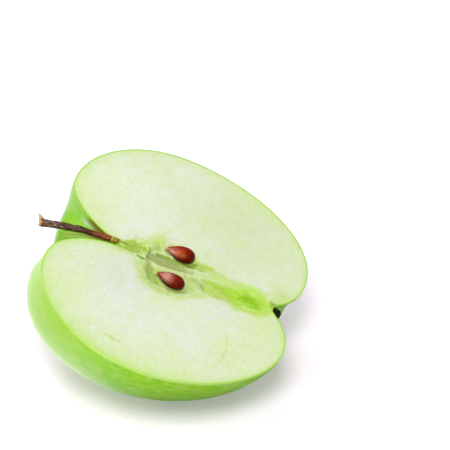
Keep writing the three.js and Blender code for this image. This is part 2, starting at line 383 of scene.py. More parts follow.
faceStrokes = {
    "core haze": brush([(-7, 1.5, 1.5), (-2, 0, 6.5), (8, 0, 5.5), (20, -0.3, 4), (28, 0, 3)],
        (202, 224, 140), 0.62, 6, 2),
    "upper patch": brush([(-7, 4, 0.9), (-4.6, 6.3, 1.5), (-3.1, 9, 1)],
        (205, 225, 132), 0.75, 2.4, 1),
    "upper patch, deep": brush([(-5.4, 5, 0.4), (-4.6, 5.9, 0.5)], (186, 216, 88), 0.7, 1.4, 0.5),
    "upper patch, right": brush([(-3.6, 5.6, 0.4), (-2.6, 6.6, 0.5)], (196, 220, 104), 0.7, 1.2, 0.5),
    "upper patch, low": brush([(-4.8, 2.9, 0.8), (-3.2, 4.4, 0.9)], (168, 198, 86), 0.85, 1.8, 0.6),
    "haze over the strand": brush([(-11, 2.5, 0.8), (-8, 4, 1)], (204, 228, 128), 0.7, 2.6, 0.8),
    "tall tear": brush([(-10.4, 2.8, 0.3), (-10.1, 5.4, 0.1)], (200, 222, 118), 0.8, 0.8, 0.3),
    "lower arc": brush([(-6.4, -1, 0.5), (-6, -5, 0.7), (-4, -8.6, 0.8), (-0.5, -9.9, 0.8), (3, -9.6, 0.8),
                         (6, -8.8, 0.8), (8.8, -7, 0.8), (11, -5, 0.6)],
        (192, 220, 116), 0.74, 2.2, 0.8),
    "lower arc's green": brush([(-4.8, -7.6, 0.5), (-1.5, -9, 0.7), (2.5, -9.2, 0.6)],
        (184, 212, 100), 0.6, 1.8, 0.6),
    "right haze": brush([(8.5, -7.4, 0.9), (12.5, -5.6, 1)], (204, 225, 140), 0.5, 3, 1),
    "lower chamber": brush([(-4.2, -3.6, 1.2), (-1, -5.6, 2.9), (4, -5.8, 2.6), (7.5, -4.8, 1.4)],
        (186, 207, 112), 0.85, 2, 0.6, streaks=(0.5, (206, 222, 146)), depth=-0.4, fibre=0.08),
    "lower chamber shade": brush([(-5, -1.8, 0.4), (-4, -3.3, 1.1), (-4, -5.2, 0.9),
                                   (-3.4, -6.6, 0.5)],
        (154, 176, 90), 0.85, 1.6, 0.5, lift=-0.1),
    "beside the lower chamber": brush([(-7.6, -2.6, 0.9), (-7.2, -5, 1), (-6, -8, 0.8)],
        (188, 212, 124), 0.55, 3, 0.8),
    "lower chamber line": brush([(-3.9, -4.4, 0.1), (-3.2, -8, 0.12)],
        (206, 216, 162), 0.7, 0.5, 0.2, lift=0.15),
    "lower chamber green": brush([(-2.4, -5.2, 0.4), (-1, -6.8, 0.6)],
        (148, 182, 66), 0.85, 1.2, 0.4, lift=-0.2),
    # painted shadow that the lower seed casts on the flesh below it
    "lower seed's shadow": brush([(1.6, -7.7, 0.3), (4.5, -7.7, 0.6), (6.8, -6.7, 0.5)],
        (146, 168, 66), 0.75, 1.6, 0.4),
    "right of lower seed": brush([(7.5, -4.2, 1.1), (10.5, -3.4, 0.8)], (190, 208, 130), 0.65, 1.8, 0.6),
    "upper chamber": brush([(-2.3, 4.6, 1), (1, 5.2, 2.5), (6, 5, 2.3), (8.5, 4, 1)],
        (206, 225, 142), 0.8, 2, 0.5, depth=-0.35, fibre=0.08),
    "under upper seed": brush([(-3.2, 1.9, 0.4), (0, 2.1, 0.6), (4, 2.2, 0.7), (7, 2.7, 0.6)],
        (146, 168, 58), 0.95, 0.9, 0.3, streaks=(0.5, (172, 190, 88)), lift=-0.2, fibre=0.08),
    "upper tail": brush([(6.6, 3.5, 1.1), (9, 3.8, 1.5), (11.4, 4.1, 1.1)],
        (174, 202, 86), 0.92, 1.9, 0.5, streaks=(0.5, (196, 219, 116)), lift=-0.15, fibre=0.08),
    "upper seed's shade": brush([(2.5, 2.6, 0.2), (4.5, 2.4, 0.4), (6.4, 2.8, 0.6), (7.4, 3.9, 0.4)],
        (116, 136, 44), 0.7, 1.4, 0.3),
    "upper tail's end": brush([(11.5, 3.8, 0.9), (14, 3.2, 0.9), (18, 2.9, 0.6)],
        (192, 220, 120), 0.75, 2.2, 0.6),
    "above the band": brush([(12, 1.3, 0.6), (16, 1.7, 1), (20, 2.2, 1)],
        (204, 228, 136), 0.6, 2.4, 0.6),
    "band, low": brush([(11.4, -2.6, 0.9), (14, -2.8, 1.5), (17.5, -2.6, 1.6), (21, -2.5, 2)],
        (184, 210, 88), 0.92, 1.8, 0.7, streaks=(0.6, (204, 224, 118)), lift=-0.12, fibre=0.08),
    "band, high": brush([(10.8, -0.1, 0.3), (13, -0.6, 0.9), (16.5, -0.6, 1.2), (20, -0.5, 1.8)],
        (166, 208, 58), 0.88, 1.7, 0.6, streaks=(0.6, (190, 220, 92)), lift=-0.12, fibre=0.08),
    "band, right": brush([(20, -0.4, 1.9), (23, -0.3, 3.7), (26, -0.3, 3.8), (28.5, -0.5, 2.5),
                           (30.5, -0.2, 1.2)],
        (178, 222, 66), 0.92, 2.8, 1.6, streaks=(0.6, (206, 234, 116)), lift=-0.1, fibre=0.1),
    "band, heart": brush([(21.6, -0.3, 0.6), (23.1, -0.3, 1.2), (25, -0.8, 1.2), (27.2, -1.5, 0.8)],
        (140, 196, 12), 0.92, 2.2, 1, streaks=(0.4, (164, 212, 34)), lift=-0.15),
    "band, pale side": brush([(18, 2.2, 0.4), (21, 3.2, 0.7), (24, 4.1, 0.7), (27.3, 3.3, 0.5)],
        (198, 228, 118), 0.75, 1.8, 0.8),
    "band, upper fleck": brush([(23.9, 3, 0.3), (25.2, 2.4, 0.3)], (206, 242, 126), 0.8, 0.9, 0.3),
    "band, lower streaks": brush([(20.4, -5.2, 0.3), (23, -5.2, 0.6), (26.5, -4.2, 0.8),
                                   (29.8, -2.8, 0.7)],
        (198, 226, 112), 0.7, 2.6, 1.2),
    "band, lower fleck": brush([(20.6, -5.8, 0.1), (22.6, -5, 0.25), (23.6, -4.6, 0.2)],
        (190, 226, 84), 0.55, 0.9, 0.4),
    "band mark": brush([(10.8, -2.2, 0.15), (11.8, -3.7, 0.2)],
        (148, 190, 36), 0.85, 0.5, 0.2, lift=-0.15),
    "band line": brush([(12, -1.8, 0.05), (12.9, -4.2, 0.1)], (210, 228, 142), 0.8, 0.4, 0.1, lift=0.1),
    "olive patch": brush([(5.4, -1.9, 0.5), (8, -2, 0.8), (10.6, -1.8, 0.7)],
        (164, 188, 84), 0.72, 2, 0.6),
    "hollow": brush([(-4.8, 0.5, 1.1), (-2.5, 0.4, 1.6), (1, 0.4, 1.3), (4.5, 0.7, 0.9), (7.5, 0.9, 0.4)],
        (164, 178, 110), 0.95, 0.7, 0.2, streaks=(0.7, (134, 152, 86)), depth=-0.9, fibre=0.12),
    # painted shade: the hollow's ends darker where it runs deep
    "shade in the hollow's upper corner": brush([(-5.6, 1.7, 0.25), (-5.2, 1.9, 0.3)],
        (100, 128, 56), 0.55, 0.6, 0.15, lift=-0.3),
    "shade in the hollow's lower corner": brush([(-5.7, -0.3, 0.2), (-5.2, -0.5, 0.3)],
        (104, 132, 60), 0.85, 0.6, 0.15, lift=-0.3),
    "hollow, dark line": brush([(-4.5, -0.7, 0.1), (0, -0.9, 0.15), (4, -0.5, 0.12), (7, -0.4, 0.1)],
        (134, 156, 90), 0.75, 0.4, 0.1),
    "hollow, light line": brush([(1, 0.9, 0.08), (5, 1.1, 0.12), (8.5, 0.9, 0.1)],
        (198, 212, 162), 0.75, 0.4, 0.1, lift=0.2),
    "wedge": brush([(3, -0.9, 0.25), (7, -0.3, 0.55), (11, 0.9, 0.6), (12.5, 1.6, 0.4)],
        (208, 224, 168), 0.85, 0.7, 0.2, lift=0.1, fibre=0.08),
    "upper lip": brush([(8, 1.6, 0.2), (11.5, 2.2, 0.25)], (224, 236, 192), 0.75, 0.6, 0.2, lift=0.12),
    "pale fork": brush([(10.6, 2.3, 0.15), (11.4, 2.7, 0.2), (12.1, 3.5, 0.12)],
        (230, 240, 200), 0.8, 0.6, 0.25, lift=0.15),
    "ridge": brush([(-2.4, -2.2, 0.2), (-1, -2.2, 0.4), (2, -1.5, 0.35), (5.5, -1.2, 0.25)],
        (212, 222, 162), 0.9, 0.5, 0.2, lift=0.35),
    "strand": brush([(-14.2, 0.5, 1.3), (-11.5, 0.7, 1.6), (-8.6, 1.2, 2), (-6.6, 1.7, 1.5)],
        (160, 190, 68), 0.94, 0.8, 0.7, streaks=(0.8, (208, 228, 130)), lift=0.15, fibre=0.35),
    "strand, low": brush([(-13.6, -0.7, 0.3), (-10.5, -0.7, 0.5)], (150, 186, 46), 0.95, 0.8, 0.3),
    "under the strand": brush([(-13.8, -1.5, 0.5), (-9, -1.5, 0.5)], (192, 216, 118), 0.6, 1.6, 0.5),
    "strand's dark fibre": brush([(-14.1, 1.2, 0.1), (-12, 1, 0.14), (-10, 0.6, 0.1)],
        (110, 144, 38), 0.85, 0.35, 0.1, lift=-0.25),
    "strand's short fibre": brush([(-11.5, -0.3, 0.08), (-9.4, -0.7, 0.1)],
        (128, 150, 48), 0.8, 0.35, 0.1, lift=-0.2),
    "strand's top": brush([(-12.6, 2.2, 0.12), (-11, 2.6, 0.12)], (192, 214, 66), 0.8, 0.5, 0.2),
    "torn lip": brush([(-8.2, 2.6, 0.25), (-6.6, 2.9, 0.3), (-5.9, 1.9, 0.2)],
        (224, 238, 162), 0.88, 0.5, 0.25, lift=0.35),
    "torn edge": brush([(-7.6, 0.3, 0.2), (-6.3, 0.2, 0.3), (-5.8, 0.9, 0.2)],
        (226, 238, 172), 0.88, 0.5, 0.25, lift=0.35),
    "white fleck": brush([(-8.9, -0.9, 0.15), (-8.5, -0.9, 0.2)], (230, 228, 216), 0.85, 0.4, 0.1),
    "slit": brush([(-8.3, -1.1, 0.2), (-6.8, -1.35, 0.42), (-6.2, -1.4, 0.2)],
        (106, 146, 6), 0.98, 0.5, 0.1, lift=-0.12),
    "below the slit": brush([(-5.8, -1.1, 0.3), (-4.6, -2.2, 0.5)], (150, 174, 84), 0.8, 1.4, 0.3),
    "under upper tip": brush([(-1.9, 3.6, 0.2), (-0.9, 2.9, 0.3)],
        (232, 238, 190), 0.8, 0.6, 0.2, lift=0.15),
    "membrane": brush([(0.1, 3.9, 0.2), (1, 3.1, 0.25)], (214, 206, 178), 0.85, 0.4, 0.15, lift=0.4),
    "calyx fuzz": brush([(30.2, 1.5, 0.3), (30.7, 0.6, 0.35), (30.9, -0.3, 0.25)],
        (130, 150, 44), 0.75, 1, 0.5),
    "calyx fuzz, brown": brush([(30, 1.3, 0.1), (30.5, 0.3, 0.12)], (164, 150, 70), 0.35, 0.6, 0.4),
    "calyx shade": brush([(31, 1.6, 0.15), (31.4, 0.9, 0.15)], (76, 122, 24), 0.8, 0.5, 0.2),
    # a painted highlight on the cut skin's edge under the calyx
    "below the calyx": brush([(31.6, -2.1, 0.08), (33.3, -3.1, 0.1)], (232, 244, 168), 0.8, 0.5, 0.1),
    "pale fleck": brush([(28.7, 3.1, 0.2), (29.1, 3.1, 0.25)], (234, 246, 194), 0.8, 0.7, 0.2),
    "low streak": brush([(-10, -30.6, 0.2), (-8, -30.9, 0.3), (-5.6, -31.2, 0.25)],
        (184, 218, 92), 0.8, 0.9, 0.4),
    "right streak": brush([(19.7, -26.6, 0.3), (21.3, -23.6, 0.2), (22, -19.8, 0.35),
                            (21.2, -15.6, 0.15)],
        (192, 220, 110), 0.55, 1.4, 0.9),
}
brushGrain = {      # the size in mm, along X and along Y, of each stroke's unevenness
    "edge": (1.3, 0.8), "fibre": (2.2, 0.28), "streaks": (2.2, 0.5), "strength": (0.9, 0.5),
    "strengthWander": 0.12,
}
flesh = {
    "color": (231, 235, 227),       # at its palest
    "tintColor": (219, 234, 178),   # its yellow-green grain and veins
    "tintShare": 0.36, "tintMost": 1.3,
    "grains": ((11.0, 0.2), (4.2, 0.13), (1.6, 0.11), (0.8, 0.08)),     # size in mm and strength
    "rimColor": (212, 233, 162), "rimWidth": 1.6, "rimShare": 0.75,     # under the skin
    "edgeColor": (190, 228, 108), "edgeWidth": 0.42, "edgeShare": 0.95,     # and right at it
    "rimWander": 0.3, "rimGrain": (1.2, 1.2),
    "cutSkinColor": (154, 214, 50), "cutSkinWidth": 0.32,
    "softSide": (-12, -34), "softReach": 28, "softMore": 2.2,       # where the rim is wider
    "softFade": 1.2,                                    # and the cut skin's line fades out
    "waves": 0.035, "waveSize": (3.1, 3.1),             # the cut face isn't quite flat
    "level": (0.2, 1.2),                                # but it is level beside the skin
    "pocketDepth": -1.3, "pocketShade": (0.06, 0.05, 0.08),     # where a seed sits
    "pocketWall": (-0.03, 0.2), "pocketLip": (-0.2, 0.05),      # where its depth and shade set in
    "cellShade": (0.94, 0.955, 0.87), "cloudShade": (0.965, 0.98, 0.88), "fleckShade": (0.93, 0.99, 0.62),
    "roughness": 0.5,
}
fleshAreas = {      # the middle and reach of wide areas, and how much greener and lighter they are
    "upper left": ((-20, 20), 13, -0.1, 0.05),
    "top edge": ((-17, 32), 8, 0.12, 0),
    "shoulder": ((-27, 12), 7, 0.3, 0),
    "upper right": ((16, 22), 13, 0.22, -0.05),
    "far right": ((30, 16), 10, 0.25, 0),
    "lower middle": ((0, -18), 13, -0.15, 0),
    "lower left": ((-24, -20), 8, 0.25, 0),
    "bottom": ((5, -33), 10, 0.25, 0),
    "lower right": ((28, -18), 11, 0.28, 0),
    "white of the core": ((16.5, -7.5), 5, -0.34, -0.03),
    "below the calyx end": ((28, -6), 5, 0.25, 0),
    "beside the calyx": ((32.5, 4.5), 3, 0.9, -0.1),
    "left of the core": ((-11, -9), 8, -0.1, -0.07),
}


def nearness(x, y, middle, reach):      # 1 at the middle, fading to nothing past the reach
    return np.exp(-((x - middle[0]) ** 2 + (y - middle[1]) ** 2) / reach ** 2)


def layOver(color, paint, amount):      # a screen colour over an array of colours
    return mix(color, np.array(linear(*paint)), amount[..., None])


def inCells(x, y, size, shift=0):       # places in a grain whose cells have this size
    return x / size[0] + shift, y / size[1]


def strokeMask(x, y, stroke, draw):     # 1 on the stroke, easing to 0 past its edge
    path = np.array(stroke["path"], float)
    nearest = np.full(x.shape, 1e9)
    for (x0, y0, w0), (x1, y1, w1) in zip(path[:-1], path[1:]):
        dx, dy = x1 - x0, y1 - y0
        t = np.clip(((x - x0) * dx + (y - y0) * dy) / (dx ** 2 + dy ** 2), 0, 1)
        away = np.hypot(x - mix(x0, x1, t), y - mix(y0, y1, t)) - mix(w0, w1, t)
        nearest = np.minimum(nearest, away)
    nearest = nearest + stroke["ragged"] * layeredGrain(*inCells(x, y, brushGrain["edge"], draw), draw)
    return 1 - smooth(-stroke["soft"] / 2, stroke["soft"] / 2, nearest)


def seedPocket(x, y, seed):     # above 0 inside a seed's outline and its gap
    turn = math.radians(seed["turn"])
    dx, dy = x - seed["middle"][0], y - seed["middle"][1]
    endGap, sideGap = seedShape["pocketGap"]
    along = (dx * math.cos(turn) + dy * math.sin(turn)) / (seed["length"] / 2 + endGap)
    across = (dy * math.cos(turn) - dx * math.sin(turn)) / (seed["width"] / 2 + sideGap)
    width = teardrop(np.arccos(np.clip(-along, -1, 1)))
    return np.where(np.abs(along) < 1, width - np.abs(across), -1)


def paintFace(x, y, rimDistance):       # height and colour of the cut face
    height = flesh["waves"] * layeredGrain(*inCells(x, y, flesh["waveSize"]), 3)
    tint = np.full(x.shape, flesh["tintShare"])
    light = np.ones(x.shape)
    for middle, reach, greener, lighter in fleshAreas.values():
        near = nearness(x, y, middle, reach)
        tint = tint + near * greener
        light = light + near * lighter
    for number, (size, strength) in enumerate(flesh["grains"]):
        tint = tint + grain(x / size + 3, y / size, 21 + number) * strength
    tint = np.clip(tint, 0, flesh["tintMost"])
    color = layOver(np.array(linear(*flesh["color"])), flesh["tintColor"], tint) * light[..., None]
    softer = 1 + flesh["softMore"] * nearness(x, y, flesh["softSide"], flesh["softReach"])
    ragged = 1 + flesh["rimWander"] * layeredGrain(*inCells(x, y, flesh["rimGrain"]), 5)
    for name in ("rim", "edge"):
        near = flesh[name + "Share"] * np.exp(-rimDistance / (flesh[name + "Width"] * softer * ragged))
        color = layOver(color, flesh[name + "Color"], near)
    for draw, stroke in enumerate(faceStrokes.values(), 100):
        mask = strokeMask(x, y, stroke, draw)
        fibre = grain(*inCells(x, y, brushGrain["fibre"], draw), draw) * stroke.get("fibre", 0)
        if "depth" in stroke:
            height = mix(height, stroke["depth"] + fibre, mask)
        else:
            height = height + mask * (stroke.get("lift", 0) + fibre)
        wander = layeredGrain(*inCells(x, y, brushGrain["strength"]), draw + 40)
        paint = np.array(linear(*stroke["color"]))
        if "streaks" in stroke:
            share, streakColor = stroke["streaks"]
            streaks = layeredGrain(*inCells(x, y, brushGrain["streaks"], draw), draw + 80)
            paint = layOver(paint, streakColor, smooth(0, 0.5, streaks) * share)
        strength = mask * stroke["strength"] * (1 + brushGrain["strengthWander"] * wander)
        color = mix(color, paint, np.clip(strength, 0, 1)[..., None])
    for seed in seeds:
        inside = seedPocket(x, y, seed)
        height = mix(height, flesh["pocketDepth"], smooth(*flesh["pocketWall"], inside))
        shade = smooth(*flesh["pocketLip"], inside)[..., None]
        color = color * (1 - shade * np.array(flesh["pocketShade"]))
    return height * smooth(*flesh["level"], rimDistance), color


seedShape = {
    "along": 72, "ring": 56,
    "taper": 0.88, "fullest": 0.79,     # how pointed it is, and the outline's own greatest width
    "lumps": 0.03, "belly": 0.12,
    "pocketGap": (0.1, 0.08),           # round it in the flesh, at its ends and sides
    # glow is painted light: a lit orange middle laid into the coat's colour on the seed's top
    "paintedLightAt": (0.48, -0.55), "paintedLightReach": (0.17, 0.5),      # along it and to the side
    "paintedSheenReach": (0.18, 0.9),          # along it and round it
    "shadeWay": (0.9, -0.45, -0.25), "shadeFrom": -0.1, "shadeTo": 0.85,    # along, sideways and up
    "bodyColor": (152, 34, 6), "darkColor": (76, 5, 0), "glowColor": (214, 96, 18),
    "paintedSheenColor": (236, 176, 156), "tipColor": (240, 186, 84),
}
# paintedSheenAt is the middle of the dull painted sheen, a soft highlight laid into the coat's colour, as a
# share of the length and as degrees round the seed.
seeds = [
    {"name": "seed_upper", "middle": (2.45, 5.0, 0.5), "turn": 3, "length": 8.25, "width": 4.8,
     "thickness": 3.4, "draw": 31, "glow": 0.8, "paintedSheen": 0.7, "paintedSheenAt": (0.18, 140)},
    {"name": "seed_lower", "middle": (1.9, -4.85, 0.5), "turn": -5, "length": 8.3, "width": 4.35,
     "thickness": 3.1, "draw": 37, "glow": 0.25, "paintedSheen": 0.78, "paintedSheenAt": (0.33, 100)},
]


def teardrop(t):        # a seed's half width from its tip, 0, round to its broad end, pi
    return np.sin(t) * np.sin(t / 2) ** seedShape["taper"] / seedShape["fullest"]


skinGrid, skinAngles = buildSkin()
rowCount = skinGrid.shape[1]

# The row's place of the fruit's own middle: the fine half's box is laid on the CAD half's box.
halfLow, halfHigh = [np.array(corner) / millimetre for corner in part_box("apple_half")]
leaned = skinGrid.reshape(-1, 3) @ leanTurn.T
fruitPlace = np.array([
    (halfLow[0] + halfHigh[0] - leaned[:, 0].min() - leaned[:, 0].max()) / 2,
    (halfLow[1] + halfHigh[1] - leaned[:, 1].min() - leaned[:, 1].max()) / 2,
    halfHigh[2] - leaned[:, 2].max(),
])
print("fruit's middle in the row, mm:", fruitPlace.round(2))


def rowPoints(points):      # from the fruit's millimetres to the row's metres
    placed = (points @ leanTurn.T + fruitPlace) * millimetre
    placed[:, 2] = np.maximum(placed[:, 2], 0)      # the flat spot that the half rests on
    return placed


def buildHalf(skin, cutFlesh):
    turns = half["turns"]
    inner = rowCount - 2                # rows without the two poles
    skinPoints = np.vstack([skinGrid[0, :1], skinGrid[0, -1:], skinGrid[:, 1:-1].reshape(-1, 3)])

    def skinAt(turn, row):
        if row in (0, rowCount - 1):
            return min(row, 1)
        return 2 + turn * inner + row - 1

    faces = []
    for turn in range(turns):
        for row in range(rowCount - 1):
            corners = [skinAt(turn, row), skinAt(turn, row + 1)]
            corners += [skinAt(turn + 1, row + 1), skinAt(turn + 1, row)]
            faces.append(tuple(dict.fromkeys(corners)))     # three corners at the poles
    faceMaterial = [0] * len(faces)
    # The cut face shares its outline with the skin: out along the upper line, back along the lower.
    edge = [skinAt(0, row) for row in range(rowCount)]
    edge += [skinAt(turns, row) for row in range(rowCount - 2, 0, -1)]
    rim = skinPoints[edge][:, :2]
    sheet, triangles = buildFace(rim)
    start = len(skinPoints)
    corner = np.concatenate([edge, start + np.arange(len(sheet))])
    for triangle in triangles:
        faces.append(tuple(int(corner[k]) for k in triangle))
        faceMaterial.append(1)
    points = np.vstack([skinPoints, np.column_stack([sheet, np.zeros(len(sheet))])])

    away = awayFromRim(sheet, rim)
    height, color = paintFace(sheet[:, 0], sheet[:, 1], away)
    points[start:, 2] = height
    tint = np.tile((*linear(*flesh["edgeColor"]), 1), (len(points), 1))
    tint[start:, :3] = color
    rimAway = np.zeros(len(points))
    rimAway[start:] = away
    belowCut = np.where(np.arange(len(points)) < start, -points[:, 2], 0)
    softSide = nearness(points[:, 0], points[:, 1], flesh["softSide"], flesh["softReach"])
    lengths = np.linalg.norm(np.diff(skinGrid, axis=1), axis=2).cumsum(axis=1)
    place = np.zeros((len(points), 3))      # mm along the skin from the stem, and round it
    place[2:start, 0] = lengths[:, :-1].ravel()
    place[2:start, 1] = np.repeat(skinAngles * half["girthR"], inner)
    place[1, 0] = lengths[0, -1]

    layers = {"tint": tint, "rimAway": rimAway, "belowCut": belowCut, "skinPlace": place,
              "rimLine": np.clip(1 - flesh["softFade"] * softSide, 0, 1)}
    mesh = makePiece("half_fruit", points, faces, skin, "apple_half", layers).data
    mesh.materials.append(cutFlesh)
    mesh.polygons.foreach_set("material_index", faceMaterial)
    mesh.set_sharp_from_angle(angle=math.radians(half["sharpAngle"]))
    print("half:", len(points), "points,", len(faces), "faces")


skinFinish = {
    "color": (150, 222, 20), "lightColor": (174, 230, 40), "darkColor": (134, 213, 10),
    "wellColor": (128, 196, 0), "shoulderColor": (164, 211, 38),
    "dashColor": (204, 234, 132), "speckColor": (214, 236, 160), "waxAndGlossColor": (218, 238, 204),
    "creaseColor": (206, 204, 100), "lineColor": (208, 228, 140), "deepColor": (138, 190, 54),
    # Creases in the well under the stem, from and to in mm round the skin, and their soft edge.
    "creases": ((41, 44.8, "creaseColor"), (44.8, 47.6, "lineColor"), (47.6, 52, "deepColor")),
    "creaseEdge": 1,
    "russetColor": (134, 82, 14), "russetGreen": (100, 104, 2), "russetRoughness": 0.7,
    "cutLightColor": (212, 246, 136), "cutFade": 1.05,       # right under the cut face
    "roughness": 0.3,
}


def skinMaterial():
    m = Shader("green skin")
    place = m.painted("skinPlace", "Vector")       # mm along the skin from the stem, and round it
    fromStem, around = m.parts(place)[:2]
    broad = m.noise(place, 0.05, 3, 0.5)
    streaks = m.noise(place, 0.6, 3, 0.6, (0.3, 1, 1))
    mottle = m.noise(place, 0.8, 4, 0.6, (0.5, 1, 1))
    dapple = m.noise(place, 0.27, 2, 0.5, (0.75, 1, 1))
    rays = m.noise(place, 1.1, 4, 0.7, (0.2, 1, 1))
    bold = m.remap(fromStem, 38, 82, 0.36, 1.8)         # its marks grow bolder towards the calyx
    stretched = m.add("Mapping", {"Vector": place, "Scale": (0.38, 1, 1)}).outputs[0]
    cells = m.add("TexVoronoi", {"Vector": stretched, "Scale": 0.52, "Randomness": 1})
    luck = m.add("SeparateColor", {0: cells.outputs["Color"]}).outputs[0]
    lucky = m.times(m.rise(luck, 0.3, 0.9, 0.38), bold)
    dash = m.times(m.fall(cells.outputs["Distance"], 0.08, 0.4), lucky)
    dots = m.add("TexVoronoi", {"Vector": place, "Scale": 0.24, "Randomness": 1})
    patch = m.times(m.times(m.rise(around, 8, 13), m.fall(around, 19, 25)), m.fall(fromStem, 11, 14))
    patch = m.times(patch, m.remap(rays, 0.4, 0.6, 0.08, 0.75))
    wander = m.maths("ADD", around, m.remap(rays, 0.3, 0.7, -0.6, 0.6))
    underStem = m.fall(fromStem, 14, 19, 0.85)
    creases = []
    for low, high, name in skinFinish["creases"]:
        edge = skinFinish["creaseEdge"]
        line = m.times(m.rise(wander, low, low + edge), m.fall(wander, high - edge, high))
        creases.append((name, m.times(line, underStem)))
    reach = m.maths("ADD", fromStem, m.remap(rays, 0.3, 0.7, 2.2, -2.2))
    reach = m.maths("SUBTRACT", reach, m.fall(around, 12, 21, 2.7))     # further by the upper edge
    russet = m.times(m.fall(reach, 6.4, 8.8, 0.92), m.remap(streaks, 0.36, 0.5, 0.72, 1))
    russet = m.times(russet, m.remap(around, 34, 44, 1, 0.62))          # thinner under the stem
    russetTint = m.coats(skinFinish, ("russetColor", 1), ("russetGreen", m.rise(mottle, 0.42, 0.58)))
    # the skin just under the cut made paler: partly its rounded, bruised edge, partly painted light shining
    # through the thin skin
    cutEdgeLight = m.fall(m.painted("belowCut"), 0, skinFinish["cutFade"])
    cutEdgeLight = m.times(cutEdgeLight, m.rise(fromStem, 42, 58))                # not in the well
    color = m.coats(
        skinFinish,
        ("color", 1),
        ("lightColor", m.rise(broad, 0.35, 0.68)),
        ("shoulderColor", m.fall(fromStem, 38, 78, 0.85)),
        ("wellColor", m.fall(fromStem, 22, 30, 0.75)),
        ("dashColor", m.times(m.rise(dapple, 0.52, 0.66, 0.26), bold)),
        ("darkColor", m.times(m.fall(dapple, 0.34, 0.48, 0.3), bold)),
        ("darkColor", m.times(m.rise(streaks, 0.48, 0.72, 0.3), bold)),
        ("dashColor", m.times(m.fall(streaks, 0.28, 0.44, 0.12), bold)),
        ("darkColor", m.times(m.rise(mottle, 0.5, 0.64, 0.3), bold)),
        ("dashColor", m.times(m.fall(mottle, 0.34, 0.48, 0.26), bold)),
        ("dashColor", dash),
        ("speckColor", m.fall(dots.outputs["Distance"], 0.05, 0.14, 0.5)),
        # pale streaks near the stem and a patch in the well: partly the skin's wax, partly painted gloss
        ("waxAndGlossColor", m.times(m.rise(rays, 0.5, 0.68, 0.3), m.fall(fromStem, 17, 24))),
        ("waxAndGlossColor", patch),
        *creases,
        (russetTint, russet),
        ("cutLightColor", cutEdgeLight),
    )
    normal = m.bump(m.noise(place, 2.6, 3, 0.6), 0.06, 0.0002)
    normal = m.bump(dash, 0.12, 0.0001, normal)
    rough = m.remap(russet, 0, 1, skinFinish["roughness"], skinFinish["russetRoughness"])
    return m.finish(color=color, roughness=rough, normal=normal, subsurface=0.1,
                    radius=(1, 1, 0.4), scatter=0.0015, specular=0.2)


def fleshMaterial():
    m = Shader("cut flesh")
    place = m.add("TexCoord").outputs["Object"]
    cells = m.noise(place, 1500, 3, 0.6)
    cloud = m.noise(place, 420, 3, 0.6)
    flecks = m.noise(place, 620, 2, 0.5)
    color = m.blend(m.rise(cells, 0.35, 0.65), m.painted("tint", "Color"), flesh["cellShade"], "MULTIPLY")
    color = m.blend(m.rise(cloud, 0.4, 0.65), color, flesh["cloudShade"], "MULTIPLY")
    color = m.blend(m.rise(flecks, 0.6, 0.74, 0.5), color, flesh["fleckShade"], "MULTIPLY")
    width = flesh["cutSkinWidth"]
    line = m.times(m.fall(m.painted("rimAway"), width * 0.6, width * 1.4), m.painted("rimLine"))
    color = m.coats(flesh, (color, 1), ("cutSkinColor", line))
    normal = m.bump(cells, 0.5, 0.0001)
    normal = m.bump(cloud, 0.2, 0.0003, normal)
    rough = m.remap(cells, 0.3, 0.7, flesh["roughness"] - 0.08, flesh["roughness"] + 0.1)
    return m.finish(color=color, roughness=rough, normal=normal, subsurface=0.25,
                    radius=(1, 1, 0.6), scatter=0.0008, specular=0.2)


def buildSeed(seed, material):
    t = np.linspace(0, math.pi, seedShape["along"] + 1)[1:-1, None]
    angle = np.linspace(0, 2 * math.pi, seedShape["ring"], endpoint=False)[None]
    side, crown = np.cos(angle), np.sin(angle)
    lumps = 1 + seedShape["lumps"] * grain(t * 1.4 + seed["draw"], side * 1.2 + 5, seed["draw"])
    width = teardrop(t) * lumps
    x = -seed["length"] / 2 * np.cos(t) + 0 * angle
    y = seed["width"] / 2 * width * side
    z = seed["thickness"] / 2 * width * crown + seedShape["belly"] * np.cos(t * 2)
    tips = [(way * seed["length"] / 2, 0, seedShape["belly"]) for way in (-1, 1)]
    points, faces = ringMesh(np.stack([x, y, z], axis=2), tips)
    along = (1 - np.cos(t)) / 2             # 0 at the tip, 1 at the broad end
    # painted light, strongest on the seed's top
    lightAlong, lightSide = [(value - middle) / reach for value, middle, reach
                           in zip((along, side), seedShape["paintedLightAt"], seedShape["paintedLightReach"])]
    glow = seed["glow"] * np.exp(-lightAlong ** 2 - lightSide ** 2) * smooth(0.1, 0.8, crown)
    # a painted sheen: a soft highlight laid into the coat's colour
    paintedSheenAlong = (along - seed["paintedSheenAt"][0]) / seedShape["paintedSheenReach"][0]
    paintedSheenTurn = (angle - math.radians(seed["paintedSheenAt"][1])) / seedShape["paintedSheenReach"][1]
    paintedSheen = seed["paintedSheen"] * np.exp(-paintedSheenAlong ** 2 - paintedSheenTurn ** 2)
    onward, sideways, upwards = seedShape["shadeWay"]
    darker = along * onward + side * sideways + crown * upwards
    shade = smooth(seedShape["shadeFrom"], seedShape["shadeTo"], darker)
    layers = {"seedPlace": points + seed["draw"]}
    for name, values, atTips in (("fromTip", along + 0 * angle, (0, 1)), ("glow", glow, (0, 0)),
                                 ("paintedSheen", paintedSheen, (0, 0)), ("shade", shade, (0, 0.8))):
        layers[name] = np.concatenate([values.ravel(), atTips])
    turn = np.array(Matrix.Rotation(math.radians(seed["turn"]), 3, "Z"))
    turned = points @ turn.T + np.array(seed["middle"])
    makePiece(seed["name"] + "_coat", turned, faces, material, seed["name"], layers)


